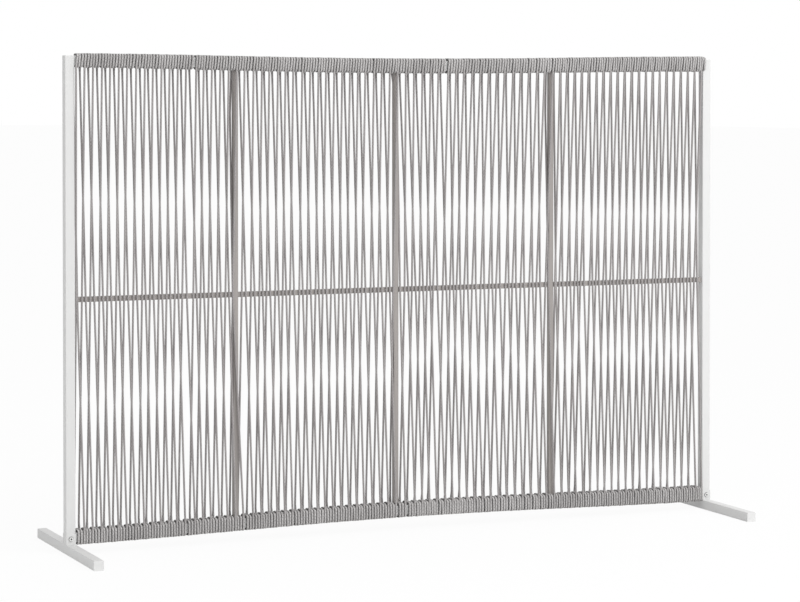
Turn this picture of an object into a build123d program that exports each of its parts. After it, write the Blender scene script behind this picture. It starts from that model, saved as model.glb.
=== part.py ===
from build123d import *
import math
import os

os.makedirs("parts", exist_ok=True)

# Free-standing rope-wound divider, mm. Origin on the floor midway between the posts,
# +Z up, +X to the right as seen from the front, the front faces -Y.

# Frame
post_top = 1500.0
post_spacing = 2190.0
tube_side = 30.0
tube_wall = 1.5
tube_corner = 2.5
cap_flange = 1.5
cap_plug = 12.0
cap_fit = 0.2

# Feet
foot_length = 616.0
tab_thick = 3.0
tab_height = 33.0
bolt_above_foot = 17.0
bolt_diameter = 8.0
bolt_fit = 0.2
head_diameter = 15.0
head_height = 3.2
socket_flats = 5.0
socket_depth = 2.0
nut_barrel = 10.0
nut_length = 14.0

# Rails: both are pulled toward each other by the rope, most at mid-length
top_rail_z = 1485.0
bottom_rail_z = 50.0
top_sag = 11.0
bottom_rise = 15.0

# Inner grid
grid_side = 16.0
grid_wall = 1.2
grid_corner = 1.5
grid_plate = 3.0
mid_bar_z = 766.0
upright_x = (-566.0, -28.0, 520.0)
stub_diameter = 6.0

# Rope
wire = 6.5
rope_gap = 0.3
wrap_corner = 7.0
strand_gap = 0.1
stub_gap = 0.3
end_gap = 0.45
periods_per_bay = (19, 20, 19, 21)
last_strand_inset = 7.9
bend_radius = 90.0
side_clear = 0.45

half_tube = tube_side / 2
half_grid = grid_side / 2
post_x = post_spacing / 2
rail_end = post_x - half_tube
foot_top = tube_side
reach = half_tube + wire / 2 + rope_gap
bar_reach = half_grid + wire / 2 + rope_gap + 0.2
beside = half_grid + wire / 2 + side_clear


def bow(x):
    u = min(1.0, abs(x) / rail_end)
    return (1.0 - u * u) ** 2


def top_z(x):
    return top_rail_z - top_sag * bow(x)


def bottom_z(x):
    return bottom_rail_z + bottom_rise * bow(x)


def save(piece, name):
    piece.part.label = name
    export_step(piece.part, f"parts/{name}.step")


def bolt_plane(x, y, out):
    z = foot_top + bolt_above_foot
    return Plane(origin=(x, y, z), x_dir=(1, 0, 0), z_dir=(0, out, 0))


# Posts: square tubes standing on the feet, with one bolt hole front to back
for side, x in (("left", -post_x), ("right", post_x)):
    with BuildPart() as post:
        with BuildSketch(Plane.XY.offset(foot_top)):
            with Locations((x, 0)):
                RectangleRounded(tube_side, tube_side, tube_corner)
                RectangleRounded(
                    tube_side - 2 * tube_wall,
                    tube_side - 2 * tube_wall,
                    tube_corner - tube_wall,
                    mode=Mode.SUBTRACT,
                )
        extrude(amount=post_top - cap_flange - foot_top)
        with BuildSketch(bolt_plane(x, 0, 1)):
            Circle(nut_barrel / 2 + bolt_fit)
        extrude(amount=half_tube, mode=Mode.SUBTRACT)
        with BuildSketch(bolt_plane(x, 0, -1)):
            Circle(bolt_diameter / 2 + bolt_fit)
        extrude(amount=half_tube, mode=Mode.SUBTRACT)
    save(post, f"{side}_post")

    with BuildPart() as post_cap:
        with BuildSketch(Plane.XY.offset(post_top - cap_flange)):
            with Locations((x, 0)):
                RectangleRounded(tube_side, tube_side, tube_corner)
        extrude(amount=cap_flange)
        with BuildSketch(Plane.XY.offset(post_top - cap_flange)):
            with Locations((x, 0)):
                plug = tube_side - 2 * tube_wall - 2 * cap_fit
                RectangleRounded(plug, plug, tube_corner - tube_wall)
        extrude(amount=-cap_plug)
    save(post_cap, f"{side}_post_cap")

    with BuildPart() as foot:
        with BuildSketch(Plane.XZ.offset(-foot_length / 2 + cap_flange)):
            with Locations((x, half_tube)):
                RectangleRounded(tube_side, tube_side, tube_corner)
                RectangleRounded(
                    tube_side - 2 * tube_wall,
                    tube_side - 2 * tube_wall,
                    tube_corner - tube_wall,
                    mode=Mode.SUBTRACT,
                )
        extrude(amount=foot_length - 2 * cap_flange)
    save(foot, f"{side}_foot")

    for end, way in (("front", -1), ("back", 1)):
        with BuildPart() as foot_cap:
            flange_plane = Plane(
                origin=(x, way * (foot_length / 2 - cap_flange), half_tube),
                x_dir=(1, 0, 0),
                z_dir=(0, way, 0),
            )
            with BuildSketch(flange_plane):
                RectangleRounded(tube_side, tube_side, tube_corner)
            extrude(amount=cap_flange)
            with BuildSketch(flange_plane):
                RectangleRounded(plug, plug, tube_corner - tube_wall)
            extrude(amount=-cap_plug)
        save(foot_cap, f"{side}_foot_cap_{end}")

        with BuildPart() as tab:
            tab_hole = bolt_diameter if way < 0 else nut_barrel
            tab_plane = Plane(
                origin=(x, way * half_tube, foot_top + tab_height / 2),
                x_dir=(1, 0, 0),
                z_dir=(0, way, 0),
            )
            with BuildSketch(tab_plane):
                RectangleRounded(tube_side, tab_height, tube_corner)
            extrude(amount=tab_thick)
            with BuildSketch(bolt_plane(x, way * half_tube, way)):
                Circle(tab_hole / 2 + bolt_fit)
            extrude(amount=tab_thick, mode=Mode.SUBTRACT)
        save(tab, f"{side}_tab_{end}")

# Foot bolts: button heads on the front tabs, shanks running back into the sleeve nuts
fork = half_tube + tab_thick
with BuildPart() as foot_bolts:
    for x in (-post_x, post_x):
        with BuildSketch(bolt_plane(x, -fork, -1)):
            Circle(head_diameter / 2)
        extrude(amount=head_height, taper=20)
        with BuildSketch(bolt_plane(x, -fork, 1)):
            Circle(bolt_diameter / 2)
        extrude(amount=2 * fork - 4.0)
        with BuildSketch(bolt_plane(x, -fork - head_height + socket_depth, -1)):
            RegularPolygon(socket_flats / 2, 6, major_radius=False)
        extrude(amount=socket_depth, mode=Mode.SUBTRACT)
save(foot_bolts, "foot_bolts")

with BuildPart() as foot_nuts:
    for x in (-post_x, post_x):
        with BuildSketch(bolt_plane(x, fork, 1)):
            Circle(head_diameter / 2)
        extrude(amount=head_height, taper=20)
        with BuildSketch(bolt_plane(x, fork, -1)):
            Circle(nut_barrel / 2)
        extrude(amount=nut_length)
        with BuildSketch(bolt_plane(x, fork, -1)):
            Circle(bolt_diameter / 2)
        extrude(amount=nut_length, mode=Mode.SUBTRACT)
        with BuildSketch(bolt_plane(x, fork + head_height - socket_depth, 1)):
            RegularPolygon(socket_flats / 2, 6, major_radius=False)
        extrude(amount=socket_depth, mode=Mode.SUBTRACT)
save(foot_nuts, "foot_nuts")

# Rails: square tubes drawn toward each other like beams held at both ends
for name, height in (("top_rail", top_z), ("bottom_rail", bottom_z)):
    with BuildPart() as rail:
        with BuildLine() as rail_line:
            stations = [rail_end * s / 4 for s in range(-4, 5)]
            Spline(
                *[(x, 0, height(x)) for x in stations],
                tangents=((1, 0, 0), (1, 0, 0)),
            )
        with BuildSketch(Plane(origin=(-rail_end, 0, height(rail_end)), z_dir=(1, 0, 0))):
            RectangleRounded(tube_side, tube_side, tube_corner)
            RectangleRounded(
                tube_side - 2 * tube_wall,
                tube_side - 2 * tube_wall,
                tube_corner - tube_wall,
                mode=Mode.SUBTRACT,
            )
        sweep(path=rail_line.line)
    save(rail, name)

# Uprights: 16 mm tubes with end plates, clear of the rope on both rails
plate_gap = rope_gap + wire + 0.5
for n, x in enumerate(upright_x, 1):
    low = bottom_z(x) + half_tube + plate_gap
    high = top_z(x) - half_tube - plate_gap
    with BuildPart() as upright:
        with BuildSketch(Plane.XY.offset(low)):
            with Locations((x, 0)):
                RectangleRounded(grid_side, grid_side, grid_corner)
        extrude(amount=high - low)
        with BuildSketch(Plane.XY.offset(low + grid_plate)):
            with Locations((x, 0)):
                Rectangle(grid_side - 2 * grid_wall, grid_side - 2 * grid_wall)
        extrude(amount=high - low - 2 * grid_plate, mode=Mode.SUBTRACT)
    save(upright, f"upright_{n}")

with BuildPart() as upright_stubs:
    for x in upright_x:
        for z in (bottom_z(x) + half_tube, top_z(x) - half_tube - plate_gap):
            with BuildSketch(Plane.XY.offset(z)):
                with Locations((x, 0)):
                    Circle(stub_diameter / 2)
            extrude(amount=plate_gap)
save(upright_stubs, "upright_stubs")

# Mid bar: four lengths of the same tube, each welded between its neighbours
ends = [-rail_end] + [v for x in upright_x for v in (x - half_grid, x + half_grid)] + [rail_end]
for n in range(4):
    with BuildPart() as mid_bar:
        with BuildSketch(Plane(origin=(ends[2 * n], 0, mid_bar_z), z_dir=(1, 0, 0))):
            RectangleRounded(grid_side, grid_side, grid_corner)
            Rectangle(grid_side - 2 * grid_wall, grid_side - 2 * grid_wall, mode=Mode.SUBTRACT)
        extrude(amount=ends[2 * n + 1] - ends[2 * n])
    save(mid_bar, f"mid_bar_{n + 1}")

# Rope: one rope wound from the top rail to the bottom rail and back, 80 times. Its turns
# round each rail fill a band one rope thick, made here as one closed sleeve to a bay. The
# strands between the rails are tubes: each passes in front of the mid bar.
first_x = -rail_end + wire / 2 + end_gap
last_x = rail_end - last_strand_inset
edge_x = rail_end - wire / 2 - end_gap
strand_x = []
bay_of = []
for bay, (start, stop, count) in enumerate(
    zip((first_x,) + upright_x, upright_x + (last_x,), periods_per_bay)
):
    strand_x += [start + (stop - start) * i / count for i in range(count)]
    bay_of += [bay] * count
strand_x.append(last_x)
bay_of.append(len(periods_per_bay) - 1)
last = len(strand_x) - 1
wrap_half = half_tube + rope_gap + wire
waypoint = 0.24


def pitch(k):
    k = min(max(k, 0), last - 1)
    return strand_x[k + 1] - strand_x[k]


def near(x):
    return min(upright_x, key=lambda u: abs(u - x))


def down_points(k):
    """A slanted strand: back of the top rail to the front of the bottom rail."""
    x_top = strand_x[k] + 0.87 * pitch(k) if k >= 0 else first_x
    base = strand_x[k + 1]
    x_bar = base + 0.45 * pitch(k + 1)
    x_low = base + pitch(k + 1) - 1.0
    if k + 1 == last:
        x_bar = edge_x
        x_low = edge_x
    if k + 1 == last - 1:
        x_low = last_x - 3.2
    z_high = top_z(x_top) - wrap_half - strand_gap
    z_low = bottom_z(x_low) + wrap_half + strand_gap
    points = [(x_top, reach, z_high)]
    u = near(base)
    if abs(u - base) < 1.0:
        x_bar = u + beside + 0.6
        z_way = z_high + (mid_bar_z - z_high) * waypoint
        y_way = reach - (reach + bar_reach) * waypoint
        points.append((u + beside, y_way, z_way))
    elif abs(u - base - pitch(k + 1)) < 1.0:
        x_bar = u - beside - 8.2
    points.append((x_bar, -bar_reach, mid_bar_z))
    points.append((x_low, -reach, z_low))
    return points


def up_points(k):
    """An upright strand: back of the bottom rail to the front of the top rail."""
    x = strand_x[k]
    z_low = bottom_z(x) + wrap_half + strand_gap
    z_high = top_z(x) - wrap_half - strand_gap
    points = [(x, reach, z_low)]
    x_bar = x
    if k == last:
        x_bar = last_x - 3.2
    u = near(x)
    if abs(u - x) < 1.0:
        x_bar = u - beside
        z_way = z_low + (mid_bar_z - z_low) * waypoint
        y_way = reach - (reach + bar_reach) * waypoint
        points.append((x_bar, y_way, z_way))
    points.append((x_bar, -bar_reach, mid_bar_z))
    points.append((x, -reach, z_high))
    return points


def rounded(points):
    """Straight runs joined by tangent arcs: ('line', a, b) and ('arc', a, middle, b)."""
    runs = []
    here = Vector(*points[0])
    for i in range(1, len(points) - 1):
        a, b, c = (Vector(*points[i + d]) for d in (-1, 0, 1))
        back = (a - b).normalized()
        ahead = (c - b).normalized()
        turn = math.pi - math.acos(max(-1.0, min(1.0, back.dot(ahead))))
        cut = bend_radius * math.tan(turn / 2)
        inward = (back + ahead).normalized()
        centre = b + inward * (bend_radius / math.cos(turn / 2))
        start = b + back * cut
        stop = b + ahead * cut
        runs.append(("line", here, start))
        runs.append(("arc", start, centre - inward * bend_radius, stop))
        here = stop
    runs.append(("line", here, Vector(*points[-1])))
    return runs


# Wraps: the band of turns round each rail, one sleeve to a bay, open for the stubs
bay_ends = [-rail_end + 0.15] + list(upright_x) + [rail_end - 0.15]
for name, height, inner in (("top_wrap", top_z, -1), ("bottom_wrap", bottom_z, 1)):
    for bay in range(4):
        x_a = bay_ends[bay]
        x_b = bay_ends[bay + 1]
        stations = [x_a + (x_b - x_a) * s / 4 for s in range(5)]
        slope_a = (height(x_a + 0.5) - height(x_a - 0.5)) / 1.0
        slope_b = (height(x_b + 0.5) - height(x_b - 0.5)) / 1.0
        with BuildPart() as wrap:
            with BuildLine() as wrap_line:
                Spline(
                    *[(x, 0, height(x)) for x in stations],
                    tangents=((1, 0, slope_a), (1, 0, slope_b)),
                )
            with BuildSketch(Plane(origin=(x_a, 0, height(x_a)), z_dir=(1, 0, 0))):
                RectangleRounded(2 * wrap_half, 2 * wrap_half, wrap_corner)
                hole = tube_side + 2 * rope_gap
                RectangleRounded(hole, hole, tube_corner, mode=Mode.SUBTRACT)
            sweep(path=wrap_line.line)
            for u in upright_x:
                if u in (x_a, x_b):
                    z = height(u) + inner * (half_tube - 1.0)
                    with BuildSketch(Plane(origin=(u, 0, z), z_dir=(0, 0, inner))):
                        Circle(stub_diameter / 2 + stub_gap)
                    extrude(amount=wire + 4.0, mode=Mode.SUBTRACT)
        save(wrap, f"{name}_{bay + 1}")

# Strands, a node of each kind to a bay
for name, route, first in (("upright_strands", up_points, 0), ("slanted_strands", down_points, -1)):
    for bay in range(4):
        total = 0.0
        with BuildPart() as strands:
            for k in range(first, last + 1 + first):
                if bay_of[max(k, 0)] != bay:
                    continue
                runs = rounded(route(k))
                with BuildLine() as strand_line:
                    for run in runs:
                        if run[0] == "line":
                            Line(run[1], run[2])
                        else:
                            ThreePointArc(run[1], run[2], run[3])
                total += sum(edge.length for edge in strand_line.edges())
                with BuildSketch(Plane(origin=runs[0][1], z_dir=runs[0][2] - runs[0][1])):
                    Circle(wire / 2)
                sweep(path=strand_line.wires()[0], clean=False)
        save(strands, f"{name}_{bay + 1}")
        print(f"{name}_{bay + 1}: {len(strands.part.solids())} strands, {total / 1000:.1f} m")
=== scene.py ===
import math
import random

import bpy
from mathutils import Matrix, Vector


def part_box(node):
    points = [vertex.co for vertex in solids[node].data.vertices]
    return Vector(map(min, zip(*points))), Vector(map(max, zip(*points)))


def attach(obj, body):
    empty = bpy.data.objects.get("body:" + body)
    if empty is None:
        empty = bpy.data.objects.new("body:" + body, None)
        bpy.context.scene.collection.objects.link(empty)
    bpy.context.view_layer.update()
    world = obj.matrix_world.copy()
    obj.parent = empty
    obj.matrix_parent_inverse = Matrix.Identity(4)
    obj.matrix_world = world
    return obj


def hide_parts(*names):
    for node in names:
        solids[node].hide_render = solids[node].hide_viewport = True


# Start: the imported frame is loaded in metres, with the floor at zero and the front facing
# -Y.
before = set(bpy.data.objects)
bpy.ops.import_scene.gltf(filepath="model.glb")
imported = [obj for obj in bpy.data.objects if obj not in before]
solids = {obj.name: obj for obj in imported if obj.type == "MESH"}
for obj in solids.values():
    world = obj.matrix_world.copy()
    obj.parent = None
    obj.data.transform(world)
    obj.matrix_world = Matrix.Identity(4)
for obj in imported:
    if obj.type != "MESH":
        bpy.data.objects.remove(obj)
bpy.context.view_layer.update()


# Feet: two lengths of 30 mm square steel tube that lie on the floor and run fore and aft,
# so that the divider stands by itself. They are cut square and powder-coated white.
class Value:
    """A node's output; arithmetic on it adds math nodes to the same tree."""

    def __init__(self, owner, socket):
        self.owner = owner
        self.socket = socket

    def math(self, operation, *others):
        sockets = dict(enumerate((self, *others)))
        return self.owner.add("ShaderNodeMath", {"operation": operation}, sockets)

    def __add__(self, other):
        return self.math("ADD", other)

    def __radd__(self, other):
        return self.math("ADD", other)

    def __sub__(self, other):
        return self.math("SUBTRACT", other)

    def __rsub__(self, other):
        return self * -1.0 + other

    def __mul__(self, other):
        return self.math("MULTIPLY", other)

    def __rmul__(self, other):
        return self.math("MULTIPLY", other)

    def clamp(self):
        return self.math("MAXIMUM", 0.0).math("MINIMUM", 1.0)


class Nodes:
    """A node tree, and the one way to add a node to it."""

    def __init__(self, tree):
        self.tree = tree

    def plug(self, slot, value):
        """Link a value to a socket, or write a plain number, colour or word there."""
        if isinstance(value, Value):
            self.tree.links.new(value.socket, slot)
        else:
            slot.default_value = value

    def add(self, kind, settings=None, inputs=None, out=0):
        """One node: its settings come first, then its sockets, by name or by number."""
        node = self.tree.nodes.new(kind)
        for key, value in (settings or {}).items():
            setattr(node, key, value)
        for key, value in (inputs or {}).items():
            self.plug(node.inputs[key], value)
        return Value(self, node.outputs[out]) if node.outputs else None

    def part(self, vector, axis):
        return self.add("ShaderNodeSeparateXYZ", inputs={"Vector": vector}, out=axis)


class Paint(Nodes):
    """A material under construction."""

    def __init__(self, name):
        self.material = bpy.data.materials.new(name)
        self.material.use_nodes = True
        super().__init__(self.material.node_tree)
        self.shader = self.tree.nodes["Principled BSDF"]

    def set(self, inputs):
        for key, value in inputs.items():
            self.plug(self.shader.inputs[key], value)

    def mix(self, factor, low_colour, high_colour):
        sockets = {0: factor, 6: low_colour, 7: high_colour}
        return self.add("ShaderNodeMix", {"data_type": "RGBA"}, sockets, out=2)

    def place(self):
        return self.add("ShaderNodeTexCoord", out="Object")

    def noise(self, scale, detail=2.0, place=None):
        sockets = {"Vector": place or self.place(), "Scale": scale, "Detail": detail}
        return self.add("ShaderNodeTexNoise", inputs=sockets)

    def bump(self, height, distance, strength):
        sockets = {"Height": height, "Distance": distance, "Strength": strength}
        return self.add("ShaderNodeBump", inputs=sockets)


def grained_finish(name, colour, roughness, grain):
    """A slightly cloudy colour with a fine grain, as on powder paint or moulded plastic."""
    cloudiness = 0.025
    clouds_per_metre = 14.0
    grain_height = 0.00012
    grain_strength = 0.6
    darker = [c * (1.0 - cloudiness) for c in colour]
    lighter = [min(1.0, c * (1.0 + cloudiness)) for c in colour]
    paint = Paint(name)
    cloud = paint.noise(clouds_per_metre, 3.0)
    paint.set(
        {
            "Base Color": paint.mix(cloud, (*darker, 1.0), (*lighter, 1.0)),
            "Roughness": roughness,
            "Specular IOR Level": 0.45,
            "Normal": paint.bump(paint.noise(grain), grain_height, grain_strength),
        }
    )
    return paint.material


def coat(material, *names):
    """Give the solids of these nodes one finish."""
    for name in names:
        slots = solids[name].data.materials
        slots.clear()
        slots.append(material)


white_paint = grained_finish("white powder coat", (0.72, 0.72, 0.715), 0.42, 900.0)
coat(white_paint, "left_foot", "right_foot")

# Tabs: short 3 mm steel plates, welded upright on the feet before and behind each post,
# which stands between them. They are coated together with the feet.
coat(white_paint, "left_tab_front", "left_tab_back", "right_tab_front", "right_tab_back")

# Posts: two upright lengths of the same 30 mm tube. Each stands on its foot between the
# tabs, is bolted through them, and is powder-coated white.
coat(white_paint, "left_post", "right_post")

# Rails: two lengths of 30 mm tube welded between the posts and coated white. The pull of
# the rope has drawn their middles a little towards each other.
coat(white_paint, "top_rail", "bottom_rail")

# Caps: moulded white plastic plugs, pressed into the tops of the posts and into both ends
# of the feet, where they close the open tube.
cap_plastic = grained_finish("white cap plastic", (0.74, 0.74, 0.735), 0.5, 1600.0)
coat(cap_plastic, "left_post_cap", "right_post_cap")
coat(cap_plastic, "left_foot_cap_front", "left_foot_cap_back")
coat(cap_plastic, "right_foot_cap_front", "right_foot_cap_back")

# Bolts and nuts: a button-head bolt through each post and its tabs, into a sleeve nut
# behind. They are zinc-plated steel; painted shade darkens the head's edge and hex recess.
mm = 0.001
head_radius = 6.2 * mm
head_shade_fade = 2200.0
recess_radius = 2.9 * mm
recess_shade_fade = 4000.0
zinc = (0.78, 0.78, 0.77, 1.0)
bolt_shade_grey = (0.16, 0.16, 0.16, 1.0)
bolts_low, bolts_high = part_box("foot_bolts")
head_z = 0.5 * (bolts_low[2] + bolts_high[2])
head_x = bolts_high[0] - 0.5 * (bolts_high[2] - bolts_low[2])
steel = Paint("bolt steel")
bolt_place = steel.place()
from_axis = steel.part(bolt_place, "X").math("ABSOLUTE") - head_x
from_middle = steel.part(bolt_place, "Z") - head_z
radius = (from_axis * from_axis + from_middle * from_middle).math("SQRT")
# Painted shade: a dark grey ring at the head's edge and a dark spot in the hex recess.
head_edge_shade = ((radius - head_radius) * head_shade_fade).clamp()
recess_shade = ((recess_radius - radius) * recess_shade_fade).clamp()
steel.set(
    {
        "Base Color": steel.mix((head_edge_shade + recess_shade).clamp(), zinc, bolt_shade_grey),
        "Metallic": 0.35,
        "Roughness": steel.noise(300.0) * 0.2 + 0.35,
    }
)
coat(steel.material, "foot_bolts", "foot_nuts")

# Grid: three uprights and four cross bars of 16 mm square steel tube, welded to each other
# and powder-coated taupe. Thin stubs through the rope's turns join the uprights to the rails.
taupe_paint = grained_finish("taupe powder coat", (0.36, 0.335, 0.32), 0.5, 900.0)
coat(taupe_paint, "upright_1", "upright_2", "upright_3", "upright_stubs")
coat(taupe_paint, "mid_bar_1", "mid_bar_2", "mid_bar_3", "mid_bar_4")

# Rope: one grey round braid, wound from left to right between the rails. In each period it
# goes down at a slant, round the bottom rail, up in front of the bar and round the top rail.
# The paint reads three attributes: the place round the rope, along it, and on a rail or not.
yarns_each_way = 3.0
yarn_turn = 10.5 * mm
flecks_per_metre = 230.0
groove_shade_colour = (0.2, 0.19, 0.19, 1.0)
crevice_shade_colour = (0.06, 0.055, 0.055, 1.0)
crevice_shade_depth = 0.82
rope_paint = Paint("grey braided rope")


def rope_attribute(name, out):
    return rope_paint.add("ShaderNodeAttribute", {"attribute_name": name}, out=out)


ring = rope_attribute("ring", "Vector")
along = rope_attribute("along", "Fac")
wrapped = rope_attribute("wrapped", "Fac")
ring_x = rope_paint.part(ring, "X")
ring_y = rope_paint.part(ring, "Y")
yarn_angle = ring_y.math("ARCTAN2", ring_x) * yarns_each_way
yarn_twist = along * (2.0 * math.pi / yarn_turn)
right_yarn = (yarn_angle + yarn_twist).math("SINE")
left_yarn = (yarn_angle - yarn_twist).math("SINE")
relief = right_yarn.math("MAXIMUM", left_yarn)
fleck_place = rope_paint.add(
    "ShaderNodeCombineXYZ", inputs={"X": ring_x, "Y": ring_y, "Z": along * flecks_per_metre}
)
fleck = rope_paint.noise(2.2, 4.0, fleck_place)
drift = rope_paint.noise(9.0)
shade = ((fleck - 0.5) * 2.0 + 0.5 + (drift - 0.5) * 0.6).clamp()
# Painted light and shade: one rope, painted lighter where it is wrapped on the rails and darker
# along the loose strands.
loose_yarn_shaded = rope_paint.mix(shade, (0.21, 0.195, 0.195, 1.0), (0.52, 0.495, 0.49, 1.0))
wrapped_yarn_lit = rope_paint.mix(shade, (0.28, 0.27, 0.265, 1.0), (0.70, 0.685, 0.68, 1.0))
yarn_lit_and_shaded = rope_paint.mix(wrapped, loose_yarn_shaded, wrapped_yarn_lit)
# Painted shade: the grooves between the yarns are painted dark, as well as bumped.
braid_with_groove_shade = rope_paint.mix((relief * 0.5 + 0.78).clamp(), groove_shade_colour, yarn_lit_and_shaded)
# Painted shade: where the rope is wrapped on a rail, its sides against the next turns are painted
# near black.
crevice_shade = ((ring_x.math("ABSOLUTE") - 0.5) * 2.3).clamp() * wrapped
rope_paint.set(
    {
        "Base Color": rope_paint.mix(crevice_shade * crevice_shade_depth, braid_with_groove_shade, crevice_shade_colour),
        "Roughness": 0.85,
        "Specular IOR Level": 0.25,
        "Sheen Weight": 0.25,
        "Normal": rope_paint.bump(relief, 0.0005, 0.7),
    }
)

# The rope's route is worked out in millimetres, from the solids' own sizes: the rails, the
# bar, the uprights, and the number of periods in each bay between the posts and uprights.
rail_end = 1080.0
half_tube = 15.0
half_grid = 8.0
wire = 6.5
rope_gap = 0.3
side_gap = 0.45
mid_bar_z = 766.0
top_rail_z = 1485.0
top_sag = 11.0
bottom_rail_z = 50.0
bottom_rise = 15.0
upright_x = (-566.0, -28.0, 520.0)
periods_per_bay = (19, 20, 19, 21)
reach = half_tube + wire / 2 + rope_gap
bar_reach = half_grid + wire / 2 + rope_gap
beside_upright = half_grid + wire / 2 + side_gap
first_x = -rail_end + wire / 2 + side_gap
edge_x = rail_end - wire / 2 - side_gap
last_x = rail_end - 7.9


def bow(x):
    u = min(1.0, abs(x) / rail_end)
    return (1.0 - u * u) ** 2


def top_z(x):
    return top_rail_z - top_sag * bow(x)


def bottom_z(x):
    return bottom_rail_z + bottom_rise * bow(x)


# Each strand has its place on the top rail, evenly spaced in its bay. Then hand work shows:
# it slips a little to either side, and at a few joins the turns stand apart or close up.
# A join is given as the strand before it and how far it opens.
joins = ((6, 2.5), (13, 5.0), (26, 3.0), (35, 2.5), (44, 4.0), (63, 2.5), (20, -3.0))
join_spread = 1.6
strand_slip = 1.1
dice = random.Random(7)
strand_x = []
bay_of = []
bay_ends = zip((first_x,) + upright_x, upright_x + (last_x,), periods_per_bay)
for bay, (start, stop, count) in enumerate(bay_ends):
    strand_x += [start + (stop - start) * i / count for i in range(count)]
    bay_of += [bay] * count
strand_x.append(last_x)
bay_of.append(3)
last = len(strand_x) - 1
for k in range(1, last):
    if strand_x[k] in upright_x:
        continue
    slip = dice.uniform(-strand_slip, strand_slip)
    for join, opening in joins:
        away = k - join - 0.5
        slip += math.copysign(0.5 * opening, away) * math.exp(-(abs(away) - 0.5) / join_spread)
    strand_x[k] += slip


def pitch(k):
    k = min(max(k, 0), last - 1)
    return strand_x[k + 1] - strand_x[k]


# The winding on the bottom rail trails the one on the top rail, less at the left than at
# the right. A lag is given as the strand and how far it trails at the bar, in pitches.
lags = ((0, 0.30), (19, 0.36), (20, 0.26), (38, 0.36), (40, 0.05), (48, 0.87), (79, 0.87))


def lag(k):
    for (start, first_lag), (stop, last_lag) in zip(lags, lags[1:]):
        if k <= stop:
            return first_lag + (last_lag - first_lag) * (k - start) / (stop - start)
    return lags[-1][1]


# The turns are pulled less tight towards the right end, so there they stand further off
# the rails. Beside an upright, where a pitch is wide, the turns keep to the even pitch.
widest_pitch = 27.4
slack_at_right = 3.2
slack_taken_up = 0.3
exit_share = 0.82
slant_share = 0.45
landing_share = 1.15
leaving_share = 0.12


def slack(x):
    return slack_at_right * (0.5 + 0.5 * x / rail_end) - slack_taken_up


def exit_x(k):
    """Where the turns of period k leave the back of the top rail."""
    return strand_x[k] + exit_share * min(pitch(k), widest_pitch) if k >= 0 else first_x


def on_rail(x):
    return min(max(x, first_x), edge_x)


def upright_at_bar(k):
    return on_rail(strand_x[k] - lag(k) * pitch(k))


def slanted_at_bar(k):
    return on_rail(strand_x[k + 1] + (slant_share - lag(k + 1)) * pitch(k + 1))


def landing_x(k):
    """Where a slanted strand reaches the bottom rail and starts the turns of period k."""
    return on_rail(strand_x[k] + (landing_share - lag(k)) * pitch(k))


def leaving_x(k):
    """Where the upright strand of period k leaves the back of the bottom rail."""
    return on_rail(strand_x[k] - (leaving_share + lag(k)) * pitch(k))


def past_upright(x_rail, x_bar):
    """The place at the bar, moved beside an upright that the strand would run into."""
    u = min(upright_x, key=lambda x: abs(x - x_bar))
    side = math.copysign(1.0, x_rail + x_bar - 2.0 * u)
    blocked = min(side * (x_bar - u), side * (x_rail - u)) < beside_upright
    if not blocked:
        return x_bar, False
    return u + side * max(beside_upright, side * (x_bar - u)), True


# A strand leaves a rail just off the tube's edge. Where an upright is in its way, it has
# gone over to the upright's side one fifth of the way to the bar.
off_edge = 2.0
pass_share = 0.2
pass_y = reach - (reach + bar_reach) * pass_share


def down_points(k):
    """A slanted strand, from the back of the top rail to the front of the bottom rail."""
    x_top = exit_x(k)
    x_bar, blocked = past_upright(x_top, slanted_at_bar(k))
    x_low = landing_x(k + 1)
    z_high = top_z(x_top) - half_tube - off_edge
    z_low = bottom_z(x_low) + half_tube + off_edge
    points = [("bend", x_top, reach, z_high)]
    if blocked:
        points.append(("bend", x_bar, pass_y, z_high - pass_share * (z_high - mid_bar_z)))
    points.append(("bend", x_bar, -bar_reach, mid_bar_z))
    points.append(("bend", x_low, -reach, z_low))
    return points


def up_points(k):
    """An upright strand, from the back of the bottom rail to the front of the top rail."""
    x_low = leaving_x(k)
    x_bar, blocked = past_upright(x_low, upright_at_bar(k))
    x_top = strand_x[k]
    z_low = bottom_z(x_low) + half_tube + off_edge
    z_high = top_z(x_top) - half_tube - off_edge
    points = [("bend", x_low, reach + slack(x_low), z_low)]
    if blocked:
        points.append(("bend", x_bar, pass_y, z_low + pass_share * (mid_bar_z - z_low)))
    points.append(("bend", x_bar, -bar_reach, mid_bar_z))
    points.append(("bend", x_top, -reach, z_high))
    return points


# Both rails carry two and a half turns in each period, each turn a third of a pitch beside
# the last. They slip by hand too, and bulge unevenly.
turn_slip = 0.9
least_bulge = -0.3
most_bulge = 0.6
bottom_slack = 0.6


def slipped(j):
    return dice.uniform(-turn_slip, turn_slip) if j else 0.0


def bottom_turns(k):
    """To the left round the bottom rail: down its front, under, up its back and over."""
    under_share = 0.2
    back_share = 0.56
    x0 = landing_x(k)
    p = min(x0 - landing_x(k - 1), widest_pitch) if k else pitch(0)
    turns = []
    for j in range(3):
        x = x0 - j * p / 3 + slipped(j)
        z = bottom_z(x)
        bulge = reach + slack(x) * bottom_slack + dice.uniform(least_bulge, most_bulge)
        turns.append(("turn", x, -bulge, z - bulge))
        turns.append(("turn", x - under_share * p, bulge, z - bulge))
        if j < 2:
            turns.append(("turn", x - back_share * p, bulge, z + bulge + 3.0))
            turns.append(("turn", x - p / 3, -bulge, z + bulge + 2.0))
    return turns


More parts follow.
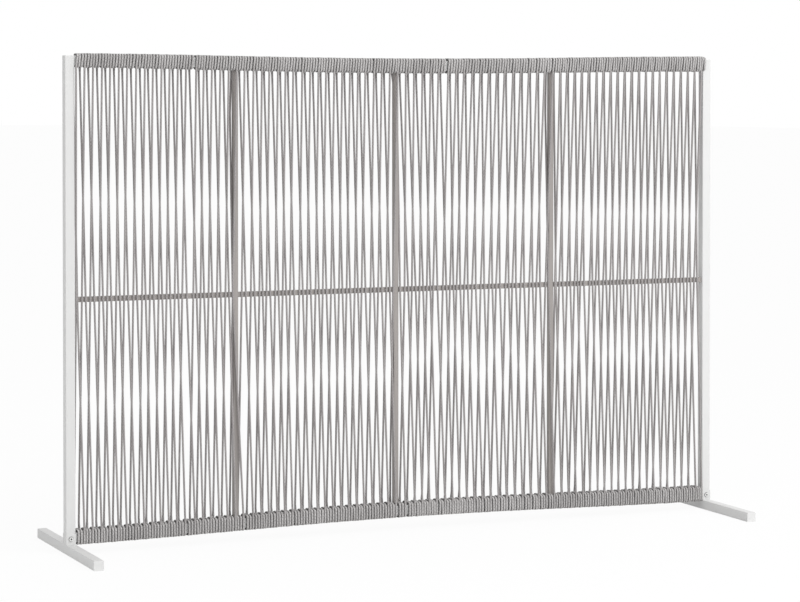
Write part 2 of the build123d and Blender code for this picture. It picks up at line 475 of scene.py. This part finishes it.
def last_turns():
    """The last period on the top rail, with one more loose turn over the post's edge."""
    z = top_z(edge_x)
    bulge = reach + slack_at_right
    return [
        ("turn", edge_x, -bulge, z + bulge),
        ("turn", edge_x - 3.0, bulge, z + bulge),
        ("turn", edge_x, bulge, z - bulge),
        ("turn", edge_x + 5.0, -bulge - 1.0, z - bulge + 2.0),
        ("turn", edge_x + 7.0, -bulge - 1.0, z + bulge - 2.0),
        ("turn", edge_x, reach, z + bulge + 2.0),
        ("end", edge_x, bulge + 3.0, z - 6.0),
    ]


def top_turns(k):
    """To the right round the top rail: up its front, over, down its back and under."""
    front_share = 0.147
    over_share = 0.195
    back_share = 0.286
    post_room = 1.2
    if k == last:
        return last_turns()
    p = min(pitch(k), widest_pitch)
    turns = []
    for j in range(3):
        x = strand_x[k] + j * p / 3 + slipped(j)
        z = top_z(x)
        bulge = reach + slack(x) + dice.uniform(least_bulge, most_bulge)
        shift = post_room if k == 0 and j == 0 else 0.0
        turns.append(("turn", x + front_share * p + shift, -bulge, z + bulge))
        turns.append(("turn", x + over_share * p + shift, bulge, z + bulge))
        if j < 2:
            turns.append(("turn", x + back_share * p + 0.5 * shift, bulge, z - bulge))
            turns.append(("turn", x + p / 3, -bulge, z - bulge))
    return turns


def route(k):
    """The corners of period k: a kind, which sets how sharp it is, and a place."""
    points = down_points(k - 1) + bottom_turns(k) + up_points(k) + top_turns(k)
    if k == 0:
        points.insert(0, ("end", first_x, reach, top_z(first_x) - 4.0))
    return points


# The route's corners become arcs. The rope lies flatter where it is wrapped on a rail, and
# is round again a short way off it.
radii = {"turn": 6.6, "bend": 60.0}
least_strand = 60.0
least_arc = 0.3
arc_steps = 4
near_end = 15.0
further_in = 40.0
long_step = 150.0
flat_taper = 9.0


def flatness(spot):
    off_bottom = abs(spot.z - bottom_z(spot.x) - half_tube)
    off_top = abs(top_z(spot.x) - half_tube - spot.z)
    return max(0.0, 1.0 - min(off_bottom, off_top) / flat_taper)


def strand_marks(length):
    """Shares of a strand's length at which it is sampled, closer together at its ends."""
    middle = length - 2.0 * further_in
    inner = max(2, round(middle / long_step))
    marks = [near_end / length, further_in / length]
    marks += [(further_in + middle * s / inner) / length for s in range(1, inner + 1)]
    return marks + [1.0 - near_end / length, 1.0]


def sampled(points):
    """Points along the runs and the arcs between them, each with the rope's flatness."""
    spots = [Vector(p[1:]) for p in points]
    here = spots[0]
    found = [(here, 1.0)]
    for i in range(1, len(spots)):
        at_end = i == len(spots) - 1
        stop = spots[i]
        if not at_end:
            back = (spots[i - 1] - spots[i]).normalized()
            ahead = (spots[i + 1] - spots[i]).normalized()
            turn = math.pi - back.angle(ahead)
            radius = radii[points[i][0]]
            cut = radius * math.tan(turn / 2)
            stop = spots[i] + back * cut
        length = (stop - here).length
        if length < least_strand:
            found += [(here.lerp(stop, mark), 1.0) for mark in (0.5, 1.0)]
        else:
            strand = [here.lerp(stop, mark) for mark in strand_marks(length)]
            found += [(spot, flatness(spot)) for spot in strand]
        if at_end:
            break
        if turn > least_arc:
            inward = (back + ahead).normalized()
            centre = spots[i] + inward * (radius / math.cos(turn / 2))
            first = (stop - centre).normalized()
            final = (spots[i] + ahead * cut - centre).normalized()
            for s in range(1, arc_steps + 1):
                found.append((centre + first.slerp(final, s / arc_steps) * radius, 1.0))
        here = spots[i] + ahead * cut
    return found


def captured(sweep, geometry, values):
    """The geometry again, and each value as it is there before the geometry changes."""
    node = sweep.tree.nodes.new("GeometryNodeCaptureAttribute")
    for name, (kind, _) in values.items():
        node.capture_items.new(kind, name)
    sweep.plug(node.inputs[0], geometry)
    for slot, (_, value) in zip(node.inputs[1:], values.values()):
        sweep.plug(slot, value)
    return [Value(sweep, socket) for socket in node.outputs[: len(values) + 1]]


def sweep_tree():
    """A node tree that sweeps a rope, flatter where it is wrapped, along a path."""
    noise_per_metre = 38.0
    seed_step = 3.7
    tree = bpy.data.node_groups.new("rope sweep", "GeometryNodeTree")
    for name, kind in (
        ("Path", "Geometry"),
        ("Sides", "Int"),
        ("Unevenness", "Float"),
        ("Seed", "Int"),
        ("Material", "Material"),
    ):
        tree.interface.new_socket(name, in_out="INPUT", socket_type="NodeSocket" + kind)
    tree.interface.new_socket("Rope", in_out="OUTPUT", socket_type="NodeSocketGeometry")
    sweep = Nodes(tree)

    def given(name):
        return sweep.add("NodeGroupInput", out=name)

    def attribute(name):
        settings = {"data_type": "FLOAT"}
        return sweep.add("GeometryNodeInputNamedAttribute", settings, {"Name": name})

    def vector(operation, a, b, out="Vector"):
        settings = {"operation": operation}
        return sweep.add("ShaderNodeVectorMath", settings, {0: a, 1: b}, out)

    def scaled(a, factor):
        settings = {"operation": "SCALE"}
        return sweep.add("ShaderNodeVectorMath", settings, {0: a, "Scale": factor})

    curve = sweep.add("GeometryNodeMeshToCurve", inputs={"Mesh": given("Path")})
    path, centre, tangent, wide, thin, along_path, flat = captured(
        sweep,
        curve,
        {
            "Centre": ("VECTOR", sweep.add("GeometryNodeInputPosition")),
            "Tangent": ("VECTOR", sweep.add("GeometryNodeInputTangent")),
            "Wide": ("FLOAT", attribute("wide")),
            "Thin": ("FLOAT", attribute("thin")),
            "Along": ("FLOAT", sweep.add("GeometryNodeSplineParameter", out="Length")),
            "Wrapped": ("FLOAT", attribute("flat")),
        },
    )
    circle = sweep.add(
        "GeometryNodeCurvePrimitiveCircle", inputs={"Resolution": given("Sides"), "Radius": mm}
    )
    position = sweep.add("GeometryNodeInputPosition")
    profile, on_circle = captured(sweep, circle, {"Ring": ("VECTOR", position)})
    swept = sweep.add(
        "GeometryNodeCurveToMesh",
        inputs={"Curve": path, "Profile Curve": profile, "Fill Caps": True},
    )
    unit_ring = vector("MULTIPLY", on_circle, (1.0 / mm, 1.0 / mm, 0.0))
    level = sweep.add("ShaderNodeCombineXYZ", inputs={"X": 1.0})
    lean = vector("DOT_PRODUCT", level, tangent, out="Value")
    square = vector("SUBTRACT", level, scaled(tangent, lean))
    across = sweep.add("ShaderNodeVectorMath", {"operation": "NORMALIZE"}, {0: square})
    outward = vector("CROSS_PRODUCT", across, tangent)
    wobble = sweep.add(
        "ShaderNodeTexNoise",
        {"noise_dimensions": "4D"},
        {"Vector": centre, "W": given("Seed") * seed_step, "Scale": noise_per_metre, "Detail": 1.0},
    )
    grow = (wobble - 0.5) * given("Unevenness") + 1.0
    side = sweep.part(unit_ring, "X") * wide
    rise = sweep.part(unit_ring, "Y") * thin * grow
    offset = vector("ADD", scaled(across, side), scaled(outward, rise))
    rope = sweep.add(
        "GeometryNodeSetPosition",
        inputs={"Geometry": swept, "Position": vector("ADD", centre, offset)},
    )
    for name, kind, value in (
        ("along", "FLOAT", along_path),
        ("wrapped", "FLOAT", flat),
        ("ring", "FLOAT_VECTOR", unit_ring),
    ):
        rope = sweep.add(
            "GeometryNodeStoreNamedAttribute",
            {"data_type": kind, "domain": "POINT"},
            {"Geometry": rope, "Name": name, "Value": value},
        )
    # The ring's height runs inwards on the circle, so the faces are turned to point outwards.
    rope = sweep.add("GeometryNodeFlipFaces", inputs={"Mesh": rope})
    rope = sweep.add("GeometryNodeSetShadeSmooth", inputs={"Geometry": rope})
    rope = sweep.add("GeometryNodeRealizeInstances", inputs={"Geometry": rope})
    rope = sweep.add(
        "GeometryNodeSetMaterial", inputs={"Geometry": rope, "Material": given("Material")}
    )
    sweep.add("NodeGroupOutput", inputs={"Rope": rope})
    return tree


def swept_rope(name, samples, half_wide, seed):
    """A rope object along the samples, made by the sweep tree and then a plain mesh."""
    half_wire = wire / 2
    wrapped_rise = 0.6
    mesh = bpy.data.meshes.new(name + " path")
    links = [(i, i + 1) for i in range(len(samples) - 1)]
    mesh.from_pydata([tuple(spot * mm) for spot, flat in samples], links, [])
    flats = [flat for spot, flat in samples]
    wide = [(half_wire + flat * (half_wide - half_wire)) * mm for flat in flats]
    thin = [(half_wire + wrapped_rise * flat) * mm for flat in flats]
    for label, values in (("wide", wide), ("thin", thin), ("flat", flats)):
        layer = mesh.attributes.new(label, "FLOAT", "POINT")
        layer.data.foreach_set("value", values)
    path = bpy.data.objects.new(name + " path", mesh)
    bpy.context.scene.collection.objects.link(path)
    modifier = path.modifiers.new("sweep", "NODES")
    modifier.node_group = rope_sweep
    given = {"Sides": 10, "Unevenness": 0.16, "Seed": seed, "Material": rope_paint.material}
    for item in rope_sweep.interface.items_tree:
        if item.in_out == "INPUT" and item.name in given:
            modifier[item.identifier] = given[item.name]
    depsgraph = bpy.context.evaluated_depsgraph_get()
    made = bpy.data.meshes.new_from_object(path.evaluated_get(depsgraph), depsgraph=depsgraph)
    bpy.data.objects.remove(path)
    made.name = name
    rope = bpy.data.objects.new(name, made)
    bpy.context.scene.collection.objects.link(rope)
    return rope


# One piece of rope for each bay. At an upright the rope goes on behind it, so each piece
# ends a little way up the back of the top rail, where the next one starts.
squeeze = 0.25
tuck = 3.0
rope_sweep = sweep_tree()
for bay in range(4):
    periods = [k for k in range(last + 1) if bay_of[k] == bay]
    first_period, last_period = periods[0], periods[-1]
    points = [point for k in periods for point in route(k)]
    if first_period > 0:
        x = exit_x(first_period - 1)
        points.insert(0, ("end", x, reach, top_z(x) + tuck))
    if last_period < last:
        x = exit_x(last_period)
        points.append(("end", x, reach, top_z(x) + tuck))
    mean_pitch = (strand_x[last_period] - strand_x[first_period]) / (len(periods) - 1)
    rope = swept_rope(f"rope_bay_{bay + 1}", sampled(points), mean_pitch / 6 - squeeze, bay)
    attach(rope, "root")
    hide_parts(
        f"top_wrap_{bay + 1}",
        f"bottom_wrap_{bay + 1}",
        f"upright_strands_{bay + 1}",
        f"slanted_strands_{bay + 1}",
    )

# Floor: a plain, pale studio floor that carries the divider's soft shadow. It shows nearly
# white to the camera and in reflections, and as it is to the light that falls on the object.
floor_glow = 0.92
floor_mesh = bpy.data.meshes.new("floor")
floor_mesh.from_pydata(
    [(-60, -30, 0), (60, -30, 0), (60, 120, 0), (-60, 120, 0)], [], [(0, 1, 2, 3)]
)
floor = bpy.data.objects.new("floor", floor_mesh)
bpy.context.scene.collection.objects.link(floor)


def seen(shader):
    """1 for rays from the camera, from a reflection or through glass, and otherwise 0."""
    rays = ("Is Camera Ray", "Is Glossy Ray", "Is Transmission Ray")
    camera_ray, glossy_ray, glass_ray = [shader.add("ShaderNodeLightPath", out=r) for r in rays]
    return (camera_ray + glossy_ray + glass_ray).clamp()


floor_paint = Paint("pale floor")
floor_paint.set({"Base Color": (0.9, 0.9, 0.9, 1.0), "Roughness": 0.9, "Specular IOR Level": 0.1})
floor_surface = floor_paint.add(
    "ShaderNodeMixShader",
    inputs={
        0: seen(floor_paint) * floor_glow,
        1: Value(floor_paint, floor_paint.shader.outputs[0]),
        2: floor_paint.add("ShaderNodeEmission", inputs={"Strength": 1.0}),
    },
)
floor_paint.plug(floor_paint.tree.nodes["Material Output"].inputs["Surface"], floor_surface)
floor_mesh.materials.append(floor_paint.material)

# Sky: plain white behind the object. Its light is soft and even, a little stronger from
# the right, from above and from the front.
white = (1.0, 1.0, 1.0, 1.0)
world = bpy.data.worlds.new("studio")
bpy.context.scene.world = world
world.use_nodes = True
sky = Nodes(world.node_tree)
sky.tree.nodes.clear()
direction = sky.add("ShaderNodeTexCoord", out="Generated")
from_right = sky.part(direction, "X") * 0.22 + 0.8
from_above = sky.part(direction, "Z").math("MAXIMUM", 0.0) * 0.55 + 0.68
from_front = sky.part(direction, "Y") * -0.35 + 1.0
strength = from_right * from_above * from_front
lit = sky.add("ShaderNodeBackground", inputs={"Color": white, "Strength": strength})
plain = sky.add("ShaderNodeBackground", inputs={"Color": white, "Strength": 1.0})
shown = sky.add("ShaderNodeMixShader", inputs={0: seen(sky), 1: lit, 2: plain})
sky.add("ShaderNodeOutputWorld", inputs={"Surface": shown})

# Lamp: one large, soft studio light at the upper right in front of the divider, turned to
# its middle.
key_data = bpy.data.lights.new("key", "AREA")
key_data.shape = "RECTANGLE"
key_data.size = 3.0
key_data.size_y = 3.0
key_data.energy = 130.0
key = bpy.data.objects.new("key", key_data)
key.location = (2.0, -4.0, 4.6)
key.rotation_euler = (Vector((0, 0, 0.7)) - key.location).to_track_quat("-Z", "Y").to_euler()
bpy.context.scene.collection.objects.link(key)

# Camera: it stands in front of the divider and to its left, a little below the top rail.
# Its place, lens and shift come from a fit to the photograph's posts and feet.
turned_right = 23.29132
tipped_down = 1.11983
camera_data = bpy.data.cameras.new("camera")
camera_data.lens = 115.59
camera_data.shift_y = -0.190931
camera = bpy.data.objects.new("camera", camera_data)
camera.location = (-3.22943, -7.47478, 1.372136)
camera.rotation_euler = (math.radians(90.0 - tipped_down), 0.0, math.radians(-turned_right))
bpy.context.scene.collection.objects.link(camera)
bpy.context.scene.camera = camera
bpy.context.scene.view_settings.view_transform = "Standard"
